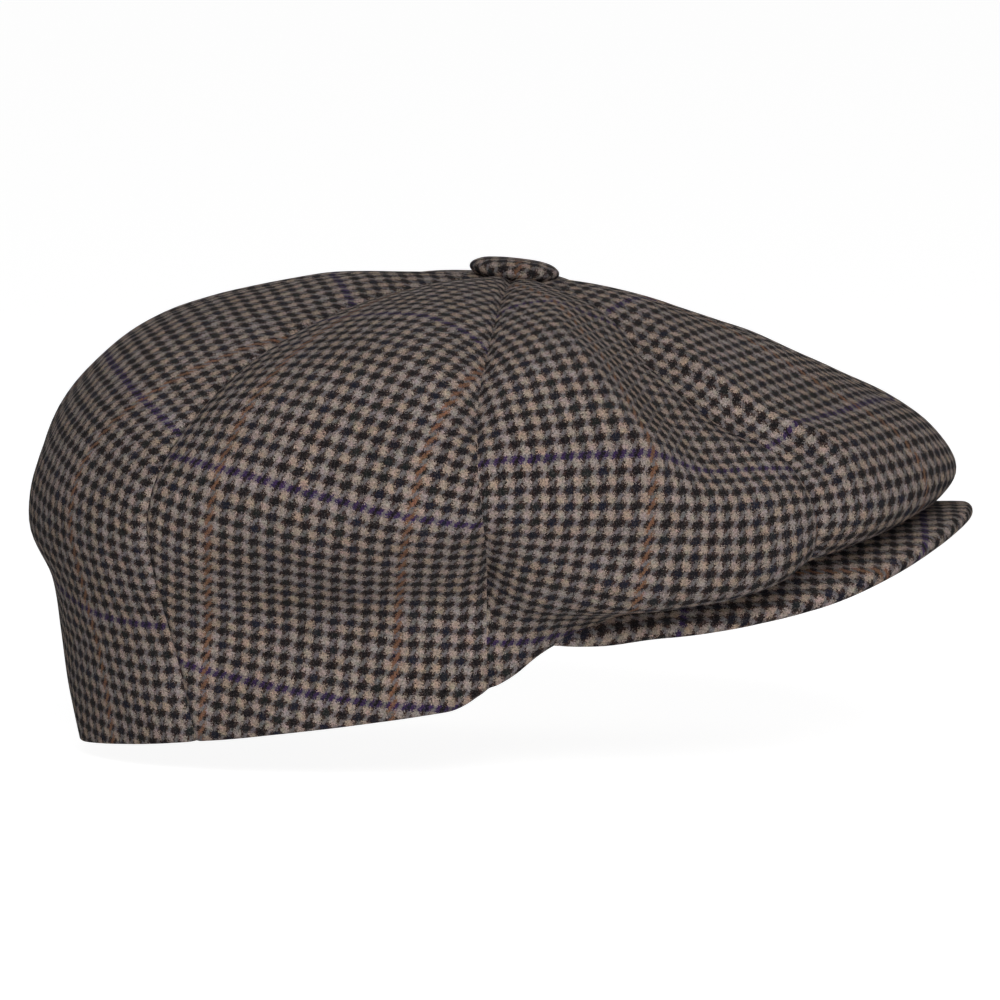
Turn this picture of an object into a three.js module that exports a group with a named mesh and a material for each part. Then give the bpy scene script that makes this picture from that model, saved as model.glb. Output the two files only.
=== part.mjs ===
// An eight-gore newsboy cap with a covered button and a curved visor, in millimetres.
// +X points forward, +Y to the wearer's left and +Z up as the cap is worn.
// The origin is the centre of the head opening.
import * as THREE from "three";

// Head opening: an oval at the hem, which rises towards the forehead.
const OPENING_HALF_LENGTH = 107;
const OPENING_HALF_WIDTH = 80;
const HEM_REAR_LEVEL = -8.6; // height of the back hem's line where it passes over the origin
const HEM_REAR_RISE = 0.15; // up for each millimetre forward
const HEM_CLIMB_X = 7; // where the hem starts its climb to the visor
const HEM_LANDING_X = 40; // where it meets the visor

// Visor: an arched board in two covers, from temple to temple.
const TEMPLE_X = 38.5;
const VISOR_LEVEL = 33.6; // its middle plane's height over the origin
const VISOR_RISE = 0.067; // up for each millimetre forward
const VISOR_ARCH = 0.0036; // drop for each square millimetre away from the middle
const EDGE_ROLL = 1.2; // how far its edge turns down
const TEMPLE_DROP = 2; // how much lower its ends lie
const TEMPLE_DROP_LENGTH = 28; // over this distance forward
const BOARD_THICKNESS = 1.6;
const COVER_THICKNESS = 1.1;
const COVER_RIM = 2.2; // how far the covers reach past the board

// Cloth.
const WOOL_THICKNESS = 1.6;
const LINING_THICKNESS = 0.5;
const LINING_DEPTH = 2.8; // from the wool's outer face to the lining's
const LINING_SAG = 5; // how much lower the lining hangs under the button
const LINING_SAG_UP = 0.75; // it starts to hang lower here, on the way up to the crest
const GORE_PUFF = 3; // how far a gore stands out between its seams
const PUFF_FALLOFF = 0.7; // below 1, the puff stays full closer to the crest
const GAP = 0.3; // clearance between pieces that touch
const SEAM_SETBACK = 0.2; // a gore's edge stops this far from the seam line

// Bands inside the hem.
const TAPE_INSET = 3.8;
const TAPE_THICKNESS = 0.5;
const TAPE_HEIGHT = 12;
const SWEATBAND_INSET = 4.7;
const SWEATBAND_THICKNESS = 1;
const SWEATBAND_HEIGHT = 31;
const SWEATBAND_LEAN = 1.5; // how far its top edge leans in
const HEM_ALLOWANCE = 0.8; // the bands start this far above the hem

// Button on the crest of the crown.
const BUTTON_RADIUS = 13;
const BUTTON_HEIGHT = 4.5;
const BUTTON_TILT = THREE.MathUtils.degToRad(6);
const SHELL_RADIUS = BUTTON_RADIUS - 1.2;
const SHELL_BASE = 0.6;
const SHELL_TOP = BUTTON_HEIGHT - 1.2;
const SHELL_THICKNESS = 0.7;
const DISC_RADIUS = 7;
const DISC_DROP = 1.6; // from the wool's inner face to the disc
const STEM_RADIUS = 1.6;
const STEM_TOP = 2.2;
const STEM_POINT = 0.4;
const DOME_STEPS = 4;
const DOME_SQUARENESS = 0.7; // below 1, the dome's shoulder is squarer
const TURNED_SIDES = 24;

const COLUMNS = 8; // quads across a gore
const ROWS_PER_STATION = 2;
const FULL_TURN_SEAMS = 8;
const STEP = 1e-3; // parameter step of a finite difference

const CREST = [23.4, 0, 114.3];

// Seams of the right half from hem to crest. Every seam passes the same stations in the same order:
// hem, band, neck, low belly, belly, high belly, shoulder, slope, roof and crest.
const FRONT_SEAM = [
  [107, 0, 43.3],
  [125, 0, 46],
  [142, 0, 47.3],
  [150.5, 0, 49.8],
  [155.6, 0, 57],
  [148.5, 0, 68],
  [124, 0, 82.6],
  [92, 0, 96.6],
  [57, 0, 108.3],
  CREST,
];
const FRONT_SIDE_SEAM = [
  [80.7, -52.5, 31.5],
  [98, -65, 31.5],
  [110.5, -74, 36.5],
  [112.5, -80, 44],
  [111.5, -81, 52],
  [103.5, -78, 65],
  [86, -71, 73],
  [66, -58, 88],
  [50, -32, 105],
  CREST,
];
const SIDE_SEAM = [
  [16.2, -79.5, -2],
  [15.4, -83, 12],
  [15.4, -88.5, 25],
  [15.3, -103, 38],
  [14.2, -115, 52],
  [12.8, -116, 68],
  [13, -104, 85],
  [16, -80, 99],
  [19.5, -45, 110],
  CREST,
];
const REAR_SIDE_SEAM = [
  [-71.1, -60.5, -17],
  [-75, -63.5, 1],
  [-78.7, -67, 15],
  [-82.5, -75, 30],
  [-84.5, -83, 47],
  [-82, -85, 60],
  [-74, -79, 74],
  [-54, -60, 93],
  [-20, -30, 108.5],
  CREST,
];
const REAR_SEAM = [
  [-106.8, 0, -24.6],
  [-110.5, 0, -8],
  [-112.6, 0, 8],
  [-114.4, 0, 24],
  [-120.6, 0, 41],
  [-118.3, 0, 60],
  [-107.6, 0, 80.8],
  [-86, 0, 99.7],
  [-38, 0, 112.6],
  CREST,
];
const STATIONS = FRONT_SEAM.length - 1;
const CROWN_END = 0.985; // the gores stop short of the crest, round the button's spike
const HEM_ZONE = 3 / STATIONS; // below this the crown is drawn in to the exact hem oval
const NECK_UP = 0.9 / STATIONS; // the puff starts here
const BELLY_UP = 3.4 / STATIONS; // and is full here

// Plan outline of the visor's outer edge on the right, from the temple to the tip.
const VISOR_OUTLINE = [
  [TEMPLE_X, -77.5],
  [50, -79.5],
  [72, -79],
  [96, -75.5],
  [120, -67],
  [140, -51],
  [155, -27],
  [161, 0],
];

const MATERIALS = {
  wool: { color: 0x5c5149, roughness: 0.95, metalness: 0 },
  lining: { color: 0x2b2526, roughness: 0.45, metalness: 0 },
  sweatband: { color: 0x1d1b1c, roughness: 0.8, metalness: 0 },
  tape: { color: 0xcfc6b4, roughness: 0.9, metalness: 0 },
  board: { color: 0xe6e2da, roughness: 0.5, metalness: 0 },
  steel: { color: 0xa9a9a6, roughness: 0.4, metalness: 1 },
};

function vector(point) {
  return new THREE.Vector3(...point);
}

function curveThrough(points) {
  return new THREE.CatmullRomCurve3(points, false, "centripetal");
}

function smoothstep(value, from, to) {
  return THREE.MathUtils.smoothstep(value, from, to);
}

// --- Crown surface -----------------------------------------------------------------------------

// The eight seams in order round the cap: right side from the front, then the left side mirrored.
function allSeams() {
  const right = [FRONT_SEAM, FRONT_SIDE_SEAM, SIDE_SEAM, REAR_SIDE_SEAM, REAR_SEAM];
  const mirrored = (seam) => seam.map(([x, y, z]) => [x, -y, z]);
  const left = [REAR_SIDE_SEAM, SIDE_SEAM, FRONT_SIDE_SEAM].map(mirrored);
  return [...right, ...left].map((seam) => curveThrough(seam.map(vector)));
}
const SEAMS = allSeams();

// Angle round the hem oval where each seam ends, from the front.
const RIGHT_ANGLES = [0, 41, 81.3, 131.6, 180];
const LEFT_ANGLES = RIGHT_ANGLES.slice(1, -1).reverse().map((angle) => 360 - angle);
const SEAM_ANGLES = [...RIGHT_ANGLES, ...LEFT_ANGLES].map(THREE.MathUtils.degToRad);

// Cubic through four evenly spaced values, between the middle two.
function cubic(before, from, to, after, fraction) {
  const f = fraction;
  const slopeFrom = (to - before) / 2;
  const slopeTo = (after - from) / 2;
  const f2 = f * f;
  const f3 = f2 * f;
  const ends = (2 * f3 - 3 * f2 + 1) * from + (3 * f2 - 2 * f3) * to;
  return ends + (f3 - 2 * f2 + f) * slopeFrom + (f3 - f2) * slopeTo;
}

function wrapSeam(index) {
  return ((index % FULL_TURN_SEAMS) + FULL_TURN_SEAMS) % FULL_TURN_SEAMS;
}

// Angle of the hem oval at a place round the cap, counted in seams from the front.
function hemAngle(around) {
  const first = Math.floor(around);
  const angles = [-1, 0, 1, 2].map((step) => {
    const index = first + step;
    const turns = Math.floor(index / FULL_TURN_SEAMS);
    return SEAM_ANGLES[wrapSeam(index)] + turns * 2 * Math.PI;
  });
  return cubic(...angles, around - first);
}

function visorMiddle(x, y) {
  const drop = TEMPLE_DROP * (1 - smoothstep(x, TEMPLE_X, TEMPLE_X + TEMPLE_DROP_LENGTH));
  return VISOR_LEVEL + VISOR_RISE * x - VISOR_ARCH * y * y - drop;
}

// Height of the hem: a straight rise at the back, and just above the visor in front of the temples.
function hemHeight(x, y) {
  const rear = HEM_REAR_LEVEL + HEM_REAR_RISE * x;
  const aboveVisor = visorMiddle(x, y) + BOARD_THICKNESS / 2 + COVER_THICKNESS + 2 * GAP;
  return THREE.MathUtils.lerp(rear, aboveVisor, smoothstep(x, HEM_CLIMB_X, HEM_LANDING_X));
}

function hemPoint(around, inset = 0) {
  const angle = hemAngle(around);
  const x = (OPENING_HALF_LENGTH - inset) * Math.cos(angle);
  const y = -(OPENING_HALF_WIDTH - inset) * Math.sin(angle);
  return new THREE.Vector3(x, y, hemHeight(x, y));
}

// Crown surface without puff. around counts seams from the front, up runs from 0 at the hem to 1.
function crownBase(around, up) {
  const first = Math.floor(around);
  const neighbours = [-1, 0, 1, 2].map((step) => SEAMS[wrapSeam(first + step)]);
  const at = (height) => {
    const [a, b, c, d] = neighbours.map((seam) => seam.getPoint(height));
    const f = around - first;
    const along = (axis) => cubic(a[axis], b[axis], c[axis], d[axis], f);
    return new THREE.Vector3(along("x"), along("y"), along("z"));
  };
  const point = at(up);
  if (up < HEM_ZONE) {
    const pull = (1 - up / HEM_ZONE) ** 2;
    point.addScaledVector(hemPoint(around).sub(at(0)), pull);
  }
  return point;
}

// Outward normal of a surface whose first parameter runs round the cap and second runs up.
function surfaceNormal(surface, around, up) {
  const acrossEdge = surface(around + STEP, up).sub(surface(around - STEP, up));
  const upEdge = surface(around, Math.min(up + STEP, 1)).sub(surface(around, Math.max(up - STEP, 0)));
  return upEdge.cross(acrossEdge).normalize();
}

// One gore's outer face: fraction 0 and 1 are its two seams.
function goreFace(gore, fraction, up) {
  const fullness = Math.sin(Math.PI * up) ** PUFF_FALLOFF * smoothstep(up, NECK_UP, BELLY_UP);
  const rise = GORE_PUFF * (1 - (2 * fraction - 1) ** 2) * fullness;
  const around = gore + fraction;
  return crownBase(around, up).addScaledVector(surfaceNormal(crownBase, around, up), rise);
}

// Inset of a gore's cut edge, as a fraction of the gore's width at that height.
function seamInset(gore, up) {
  const width = crownBase(gore, up).distanceTo(crownBase(gore + 1, up));
  return SEAM_SETBACK / width;
}

// --- Solids ------------------------------------------------------------------------------------

// A closed solid between two faces, given as grids of points with the same rows and columns.
function slab(front, back) {
  const rows = front.length;
  const columns = front[0].length;
  const points = [...front.flat(), ...back.flat()];
  const at = (side, row, column) => side * rows * columns + row * columns + column;
  const index = [];
  const quad = (a, b, c, d) => index.push(a, b, c, a, c, d);
  for (let row = 0; row + 1 < rows; row++)
    for (let column = 0; column + 1 < columns; column++) {
      quad(at(0, row, column), at(0, row, column + 1), at(0, row + 1, column + 1), at(0, row + 1, column));
      quad(at(1, row, column), at(1, row + 1, column), at(1, row + 1, column + 1), at(1, row, column + 1));
    }
  for (let row = 0; row + 1 < rows; row++) {
    const last = columns - 1;
    quad(at(0, row + 1, 0), at(1, row + 1, 0), at(1, row, 0), at(0, row, 0));
    quad(at(0, row, last), at(1, row, last), at(1, row + 1, last), at(0, row + 1, last));
  }
  for (let column = 0; column + 1 < columns; column++) {
    const last = rows - 1;
    quad(at(0, 0, column), at(1, 0, column), at(1, 0, column + 1), at(0, 0, column + 1));
    quad(at(0, last, column + 1), at(1, last, column + 1), at(1, last, column), at(0, last, column));
  }
  return facingOut(points, index);
}

// A closed ring between two faces whose columns run once round and meet.
function ring(front, back) {
  const rows = front.length;
  const columns = front[0].length;
  const points = [...front.flat(), ...back.flat()];
  const at = (side, row, column) => side * rows * columns + row * columns + (column % columns);
  const index = [];
  const quad = (a, b, c, d) => index.push(a, b, c, a, c, d);
  for (let column = 0; column < columns; column++) {
    const next = column + 1;
    for (let row = 0; row + 1 < rows; row++) {
      quad(at(0, row, column), at(0, row, next), at(0, row + 1, next), at(0, row + 1, column));
      quad(at(1, row, column), at(1, row + 1, column), at(1, row + 1, next), at(1, row, next));
    }
    const last = rows - 1;
    quad(at(0, 0, column), at(1, 0, column), at(1, 0, next), at(0, 0, next));
    quad(at(0, last, next), at(1, last, next), at(1, last, column), at(0, last, column));
  }
  return facingOut(points, index);
}

// Geometry of a closed surface, with its triangles turned round if they face inwards.
function facingOut(points, index) {
  let volume = 0;
  for (let i = 0; i < index.length; i += 3) {
    const [a, b, c] = [points[index[i]], points[index[i + 1]], points[index[i + 2]]];
    volume += a.dot(b.clone().cross(c));
  }
  if (volume < 0) index.reverse();
  const geometry = new THREE.BufferGeometry().setFromPoints(points);
  geometry.setIndex(index);
  geometry.computeVertexNormals();
  return geometry;
}

function grid(rows, columns, pointAt) {
  return Array.from({ length: rows + 1 }, (_, row) =>
    Array.from({ length: columns + 1 }, (_, column) => pointAt(row / rows, column / columns)),
  );
}

function named(name, geometry, material) {
  const mesh = new THREE.Mesh(geometry, new THREE.MeshStandardMaterial(MATERIALS[material]));
  mesh.name = name;
  return mesh;
}

const CROWN_ROWS = STATIONS * ROWS_PER_STATION;
const GORE_NAMES = [
  "front_right",
  "front_side_right",
  "rear_side_right",
  "rear_right",
  "rear_left",
  "rear_side_left",
  "front_side_left",
  "front_left",
];

// A wool gore: a curved panel between two seams, from the hem to the button.
function crownGore(gore) {
  const face = (fraction, up) => goreFace(gore, fraction, up);
  const place = (row, column) => {
    const up = row * CROWN_END;
    const inset = seamInset(gore, up);
    return [inset + column * (1 - 2 * inset), up];
  };
  const outer = grid(CROWN_ROWS, COLUMNS, (row, column) => face(...place(row, column)));
  const inner = grid(CROWN_ROWS, COLUMNS, (row, column) => {
    const [fraction, up] = place(row, column);
    return face(fraction, up).addScaledVector(surfaceNormal(face, fraction, up), -WOOL_THICKNESS);
  });
  return named("crown_gore_" + GORE_NAMES[gore], slab(outer, inner), "wool");
}

// A lining gore hangs just inside the wool one, and lower under the button.
function liningGore(gore) {
  const faceAt = (depth) => (row, column) => {
    const up = row * CROWN_END;
    const inset = seamInset(gore, up);
    const around = gore + inset + column * (1 - 2 * inset);
    const sag = LINING_SAG * smoothstep(up, LINING_SAG_UP, 1);
    const point = crownBase(around, up).addScaledVector(surfaceNormal(crownBase, around, up), -depth);
    point.z -= sag;
    return point;
  };
  const outer = grid(CROWN_ROWS, COLUMNS, faceAt(LINING_DEPTH));
  const inner = grid(CROWN_ROWS, COLUMNS, faceAt(LINING_DEPTH + LINING_THICKNESS));
  return named("lining_gore_" + GORE_NAMES[gore], slab(outer, inner), "lining");
}

// A flat band stood up round the inside of the hem.
function hemBand(name, inset, thickness, height, lean, material) {
  const segments = FULL_TURN_SEAMS * COLUMNS;
  const levels = [0, 0.5, 1];
  const face = (depth) =>
    levels.map((level) =>
      Array.from({ length: segments }, (_, i) => {
        const point = hemPoint(i / COLUMNS, inset + depth + lean * level);
        const foot = hemPoint(i / COLUMNS, inset);
        point.z = foot.z + HEM_ALLOWANCE + height * level;
        return point;
      }),
    );
  return named(name, ring(face(0), face(thickness)), material);
}

// --- Visor -------------------------------------------------------------------------------------

const VISOR_COLUMNS = 28;
const VISOR_ROWS = 5;
const SHORTEST_REACH = 0.4; // share of the visor's depth that the board keeps at the temples
const RIM_ROUNDING = 0.8; // height of a cover's rim over its height on the flat
const TEMPLE_ANGLE = Math.acos(TEMPLE_X / OPENING_HALF_LENGTH);

// Outer edge from the right temple to the left one, as a curve in plan.
function visorEdge() {
  const right = VISOR_OUTLINE.map(([x, y]) => vector([x, y, 0]));
  const left = VISOR_OUTLINE.slice(0, -1).map(([x, y]) => vector([x, -y, 0]));
  return curveThrough([...right, ...left.reverse()]);
}
const VISOR_EDGE = visorEdge();

// A point of the visor: across runs from the right temple to the left, out from the head to the edge.
// narrow draws the outer edge and the ends in, and lift is the height above the board's middle.
function visorPoint(across, out, narrow, lift) {
  const share = narrow / (OPENING_HALF_LENGTH * TEMPLE_ANGLE);
  const along = THREE.MathUtils.lerp(share, 1 - share, across);
  const angle = THREE.MathUtils.lerp(TEMPLE_ANGLE, -TEMPLE_ANGLE, along);
  const inner = new THREE.Vector3(
    (OPENING_HALF_LENGTH + 2 * GAP) * Math.cos(angle),
    -(OPENING_HALF_WIDTH + 2 * GAP) * Math.sin(angle),
    0,
  );
  const edge = VISOR_EDGE.getPointAt(along);
  const width = edge.distanceTo(inner);
  const reach = Math.max(width - narrow, SHORTEST_REACH * width) / width;
  const point = inner.lerp(edge, out * reach);
  point.z = visorMiddle(point.x, point.y) + lift - EDGE_ROLL * (out * reach) ** 4;
  return point;
}

function visorGrid(narrow, lift) {
  return grid(VISOR_ROWS, VISOR_COLUMNS, (row, column) => visorPoint(column, row, narrow, lift));
}

function visorBoard() {
  const half = BOARD_THICKNESS / 2;
  return named("visor_board", slab(visorGrid(COVER_RIM, half), visorGrid(COVER_RIM, -half)), "board");
}

// A cover: cloth over one face of the board, whose rim turns down to the middle all round the edge.
function visorCover(name, side) {
  const near = BOARD_THICKNESS / 2 + GAP;
  const far = near + COVER_THICKNESS;
  const rim = GAP / 2;
  const rows = [0, 0.2, 0.4, 0.6, 0.8];
  const columns = Array.from({ length: VISOR_COLUMNS + 1 }, (_, i) => i / VISOR_COLUMNS);
  const strip = (lift, out, narrow) => columns.map((across) => visorPoint(across, out, narrow, side * lift));
  const face = (lift, rimLift) => [
    ...rows.map((out) => strip(lift, out, 0)),
    strip(lift, 1, COVER_RIM - GAP),
    strip(rimLift, 1, 0),
  ];
  const outer = face(far, far * RIM_ROUNDING);
  const inner = face(near, rim);
  return named(name, slab(outer, inner), "wool");
}

// --- Button ------------------------------------------------------------------------------------

function lathe(name, outline, material) {
  const points = outline.map(([radius, height]) => new THREE.Vector2(radius, height));
  const geometry = new THREE.LatheGeometry(points, TURNED_SIDES);
  geometry.rotateX(Math.PI / 2);
  return named(name, geometry, material);
}

// Points of a quarter ellipse from the rim up to the axis.
function dome(radius, base, height, steps) {
  return Array.from({ length: steps + 1 }, (_, i) => {
    const angle = (i / steps) * (Math.PI / 2);
    const r = i === steps ? 0 : radius * Math.cos(angle) ** DOME_SQUARENESS;
    return [r, base + height * Math.sin(angle)];
  });
}

// Cloth over the button's shell.
function buttonCover() {
  const hollow = SHELL_RADIUS + GAP;
  const outline = [
    ...dome(hollow, SHELL_BASE, SHELL_TOP + GAP - SHELL_BASE, DOME_STEPS).reverse(),
    [hollow, GAP],
    ...dome(BUTTON_RADIUS, GAP, BUTTON_HEIGHT - GAP, DOME_STEPS),
  ];
  return lathe("button_cover", outline, "wool");
}

// Pressed steel shell, open below.
function buttonShell() {
  const height = SHELL_TOP - SHELL_BASE;
  const outline = [
    ...dome(SHELL_RADIUS - SHELL_THICKNESS, SHELL_BASE, height - SHELL_THICKNESS, DOME_STEPS).reverse(),
    ...dome(SHELL_RADIUS, SHELL_BASE, height, DOME_STEPS),
  ];
  return lathe("button_shell", outline, "steel");
}

// Disc under the crest with the stem that comes up through the gores' tips into the shell.
function buttonProng() {
  const discTop = -WOOL_THICKNESS - DISC_DROP;
  const outline = [
    [0, discTop - SHELL_THICKNESS],
    [DISC_RADIUS, discTop - SHELL_THICKNESS],
    [DISC_RADIUS, discTop],
    [STEM_RADIUS, discTop],
    [STEM_RADIUS, STEM_TOP - STEM_POINT],
    [0, STEM_TOP],
  ];
  return lathe("button_prong", outline, "steel");
}

function button() {
  const group = new THREE.Group();
  group.add(buttonCover(), buttonShell(), buttonProng());
  group.position.set(...CREST);
  group.rotation.y = BUTTON_TILT;
  return group;
}

// --- Cap ---------------------------------------------------------------------------------------

function cap() {
  const group = new THREE.Group();
  for (let gore = 0; gore < FULL_TURN_SEAMS; gore++) {
    group.add(crownGore(gore));
    group.add(liningGore(gore));
  }
  group.add(hemBand("stay_tape", TAPE_INSET, TAPE_THICKNESS, TAPE_HEIGHT, 0, "tape"));
  group.add(
    hemBand("sweatband", SWEATBAND_INSET, SWEATBAND_THICKNESS, SWEATBAND_HEIGHT, SWEATBAND_LEAN, "sweatband"),
  );
  group.add(visorBoard());
  group.add(visorCover("visor_top_cover", 1));
  group.add(visorCover("visor_under_cover", -1));
  group.add(button());
  return group;
}

export default cap();
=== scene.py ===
# Looks of the newsboy cap: wool gores, covered button, visor, lining and sweatband over the fixed CAD frame.
# Shapes are worked out in millimetres, as in the CAD model, and written in metres.
import math

import bmesh
import bpy
import numpy as np
from mathutils import Matrix, Vector, noise


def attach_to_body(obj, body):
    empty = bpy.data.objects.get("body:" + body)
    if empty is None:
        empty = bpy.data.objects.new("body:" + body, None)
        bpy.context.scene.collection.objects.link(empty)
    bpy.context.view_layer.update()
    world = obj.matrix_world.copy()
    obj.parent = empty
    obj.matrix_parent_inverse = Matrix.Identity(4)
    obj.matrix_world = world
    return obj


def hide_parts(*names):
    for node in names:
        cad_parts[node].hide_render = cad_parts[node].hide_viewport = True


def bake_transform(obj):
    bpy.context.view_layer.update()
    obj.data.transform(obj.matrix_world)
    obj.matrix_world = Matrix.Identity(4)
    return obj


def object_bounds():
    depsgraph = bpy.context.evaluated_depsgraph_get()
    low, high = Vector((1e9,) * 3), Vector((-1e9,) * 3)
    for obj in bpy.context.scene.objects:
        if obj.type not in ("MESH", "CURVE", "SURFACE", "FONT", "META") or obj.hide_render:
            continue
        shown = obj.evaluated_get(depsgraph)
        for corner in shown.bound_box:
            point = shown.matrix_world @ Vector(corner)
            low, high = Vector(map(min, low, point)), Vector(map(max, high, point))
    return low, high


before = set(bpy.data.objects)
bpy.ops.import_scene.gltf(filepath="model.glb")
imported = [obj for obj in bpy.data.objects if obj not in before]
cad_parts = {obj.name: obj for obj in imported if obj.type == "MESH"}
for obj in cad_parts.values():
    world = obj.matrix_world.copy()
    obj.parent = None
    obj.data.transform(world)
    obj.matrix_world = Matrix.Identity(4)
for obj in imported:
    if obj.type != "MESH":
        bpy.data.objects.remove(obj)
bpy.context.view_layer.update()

MM = 0.001

# --- Sizes in millimetres: the CAD model's, apart from those marked "scene only" ---

OPENING_HALF_LENGTH = 107
OPENING_HALF_WIDTH = 80
HEM_REAR_LEVEL = -8.6
HEM_REAR_RISE = 0.15
HEM_CLIMB_X = 3.5  # scene only: the hem climbs a little earlier than the CAD model's 7 to 40
HEM_LANDING_X = 39
TEMPLE_X = 38.5
VISOR_LEVEL = 33.6
VISOR_RISE = 0.067
VISOR_ARCH = 0.0036
EDGE_ROLL = 1.2
TEMPLE_DROP = 2.9  # scene only: the cloth rounds the visor's ends lower than the CAD model's 2
TEMPLE_DROP_LENGTH = 28
VISOR_HALF_THICKNESS = 2.2
HEM_OVER_VISOR = 2.5  # from the visor's middle plane up to the hem
CREST = (23.4, 0, 114.3)
CROWN_END = 0.985  # the gores stop here under the button, from hem 0 to crest 1
GORE_PUFF = 3
PUFF_FALLOFF = 0.7  # below 1, the puff stays full closer to the crest
WOOL_THICKNESS = 1.6
LINING_DEPTH = 2.8
LINING_THICKNESS = 0.5
LINING_SAG = 5
LINING_SAG_UP = 0.75
TAPE_INSET = 3.8
TAPE_THICKNESS = 0.5
TAPE_HEIGHT = 12
SWEATBAND_INSET = 4.7
SWEATBAND_THICKNESS = 1
SWEATBAND_HEIGHT = 31
SWEATBAND_LEAN = 1.5
HEM_ALLOWANCE = 0.8
BUTTON_RADIUS = 13.5  # scene only: the cloth bulges a little past the CAD model's 13
BUTTON_HEIGHT = 4.5
BUTTON_TILT = math.radians(6)

# Seams of the right half from hem to crest, in the CAD model's own stations.
FRONT_SEAM = [
    (107, 0, 43.3), (125, 0, 46), (142, 0, 47.3), (150.5, 0, 49.8), (155.6, 0, 57), (148.5, 0, 68),
    (124, 0, 82.6), (92, 0, 96.6), (57, 0, 108.3), CREST,
]
FRONT_SIDE_SEAM = [
    (80.7, -52.5, 31.5), (98, -65, 31.5), (110.5, -74, 36.5), (112.5, -80, 44), (111.5, -81, 52),
    (103.5, -78, 65), (86, -71, 73), (66, -58, 88), (50, -32, 105), CREST,
]
SIDE_SEAM = [
    (16.2, -79.5, -2), (15.4, -83, 12), (15.4, -88.5, 25), (15.3, -103, 38), (14.2, -115, 52),
    (12.8, -116, 68), (13, -104, 85), (16, -80, 99), (19.5, -45, 110), CREST,
]
REAR_SIDE_SEAM = [
    (-71.1, -60.5, -17), (-75, -63.5, 1), (-78.7, -67, 15), (-82.5, -75, 30), (-84.5, -83, 47),
    (-82, -85, 60), (-74, -79, 74), (-54, -60, 93), (-20, -30, 108.5), CREST,
]
REAR_SEAM = [
    (-106.8, 0, -24.6), (-110.5, 0, -8), (-112.6, 0, 8), (-114.4, 0, 24), (-120.6, 0, 41),
    (-118.3, 0, 60), (-107.6, 0, 80.8), (-86, 0, 99.7), (-38, 0, 112.6), CREST,
]
RIGHT_ANGLES = (0, 41, 81.3, 131.6, 180)  # where these seams stand round the hem oval, in degrees
STATIONS = len(FRONT_SEAM) - 1
HEM_ZONE = 3 / STATIONS  # below this height the crown is drawn in to the hem's oval
NECK_UP = 0.9 / STATIONS  # the puff grows from here
BELLY_UP = 3.4 / STATIONS  # and is full here
FULL_TURN_SEAMS = 8
RIGHT_GORES = 4
VISOR_END_X = 33  # scene only: its ends are tucked in under the hem, behind the CAD model's 38.5
VISOR_OUTLINE = [
    (VISOR_END_X, -75.4, 0), (44, -77.6, 0), (56, -79.4, 0), (74, -79, 0), (96, -75.5, 0),
    (120, -67, 0), (140, -51, 0), (155, -27, 0), (161, 0, 0),
]
GORE_NAMES = (
    "front_right",
    "front_side_right",
    "rear_side_right",
    "rear_right",
    "rear_left",
    "rear_side_left",
    "front_side_left",
    "front_left",
)
FLEXING_GORES = (0, 1, 2, 5, 6, 7)

# --- Cloth ---

THREAD = 0.6  # width of one thread, mm
WOOL_FUZZ = 3.9  # swing of the fibres at the blocks' edges, mm
TWILL_FUZZ = 0.7  # share of it at the twill's own edges
TWILL_LEAN = 0.5  # threads across for each thread along the twill's steep diagonals
RUST_SPACING = 96  # threads between two rust lines
PURPLE_SPACING = 120  # threads between two purple lines
TEMPLE_OVERLAP = 3.8  # how far the hem laps over the visor's ends, mm
OVERLAP_START = (12, 27)  # it grows over this stretch of x
OVERLAP_FADE = (42, 66)  # and fades over this one
HEM_FOLD = 3.2  # thickness of the folded hem, mm
HEM_FOLD_HEIGHT = 12
HEM_FOLD_EASE = 2  # it thins out over this much on both sides of its height
HEM_ROUNDNESS = 0.45  # depth of the fold's edge for its half thickness
HEM_ROLL_STEPS = 4
HEM_ROLL_CLOTH = (0.5, 3)  # how far the weave has run under the edge, at the fold's two sides
SEAM_DEPTH = 1.0
SEAM_HALF_WIDTH = 1.4
DENTS = ((1.1, 34, 1), (0.35, 13, 2))  # height, size and seed of the cloth's random waves
SEAM_CALM = 12  # they grow from nothing at a seam to their full height over this distance

# Where each right-hand gore's cloth was cut: turn in degrees, then shift across and up, mm.
GORE_CUTS = {
    0: (7, 0, -24),
    1: (1, 4, -9),
    2: (8, -31, -3),
    3: (9, -12, -40),
}

# The front-side seam lies in a hollow: it is pulled in, and the cloth stands up beside it. All in mm.
HOLLOW_STRETCH = (0.475, 0.99)  # the part of the seam, from hem 0 to crest 1
HOLLOW_EASES = (0.09, 0.22)  # how fast the hollow deepens at its lower and upper end
HOLLOW_DEPTH = 15
HOLLOW_FLOOR = 0.64  # share of the way from the seam to the crease before the steep wall
SEAM_RISE = 0.45  # how far the floor comes back out at the seam, as a share of the depth
HOLLOW_FRONT_WIDTH = 30
BANK_STRETCH = (0.44, 0.9)
BANK_EASES = (0.12, 0.18)
FRONT_BANK_HEIGHT = 4.5
FRONT_BANK_CREST = 14  # distance from the seam to the top of the bank
FRONT_BANK_FOOT = 42
SIDE_BANK_HEIGHT = 3.5
CREASE_UPS = (0.5, 0.62, 0.7, 0.78, 0.86, 0.95)  # the crease along the side bank passes these heights
CREASE_DISTANCES = (52, 49, 43, 36, 26, 13)  # at these distances from the seam
CREASE_TO_FOOT = 26
SIDE_PUFFS = ((0.76, 0.13, 5), (0.24, 0.1, 10))  # extra fullness of the side gores: height, reach and depth
SIDE_PITS = ((84, 13, 3.6), (33, 9, 2.4))  # level, reach and depth of the side seam's pits
PIT_HALF_WIDTH = 6
GORE_COLUMNS = 56
GORE_ROWS = 100
FLAT_COLUMNS = 34
FLAT_ROWS = 40
FLATTEN_STEPS = 15
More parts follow.
